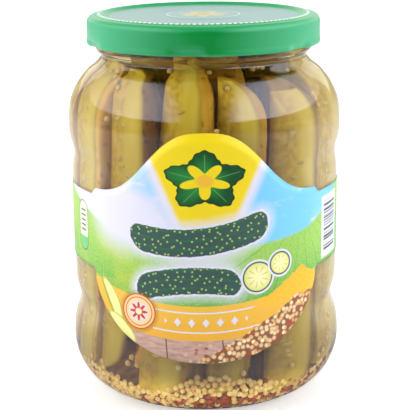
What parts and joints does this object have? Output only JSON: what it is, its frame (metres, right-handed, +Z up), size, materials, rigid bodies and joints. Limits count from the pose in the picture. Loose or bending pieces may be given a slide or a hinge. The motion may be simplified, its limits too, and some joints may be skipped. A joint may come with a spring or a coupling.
{
  "type": "pickle jar",
  "caption": "Shut clear glass jar of gherkin quarters standing in brine over a bed of mustard seeds, with a green twist-off lid and a shaped paper label round a gripped waist.",
  "frame": {"origin": "centre of the bearing ring, on the surface the jar stands on", "axes": "+Z up through the lid, -Y out of the middle of the label's front, +X to the right as the label is seen"},
  "size_m": [0.1006, 0.1012, 0.1411],
  "materials": {
    "glass": "clear, polished",
    "lid": "satin lacquer",
    "label": "coated paper, printed",
    "pickle": "wet",
    "seed": "wet"
  },
  "bodies": {
    "root": {"glass_jar": "glass", "lid": "lid", "label": "label", "pickles": "pickle", "mustard_seeds": "seed"}
  },
  "joints": []
}
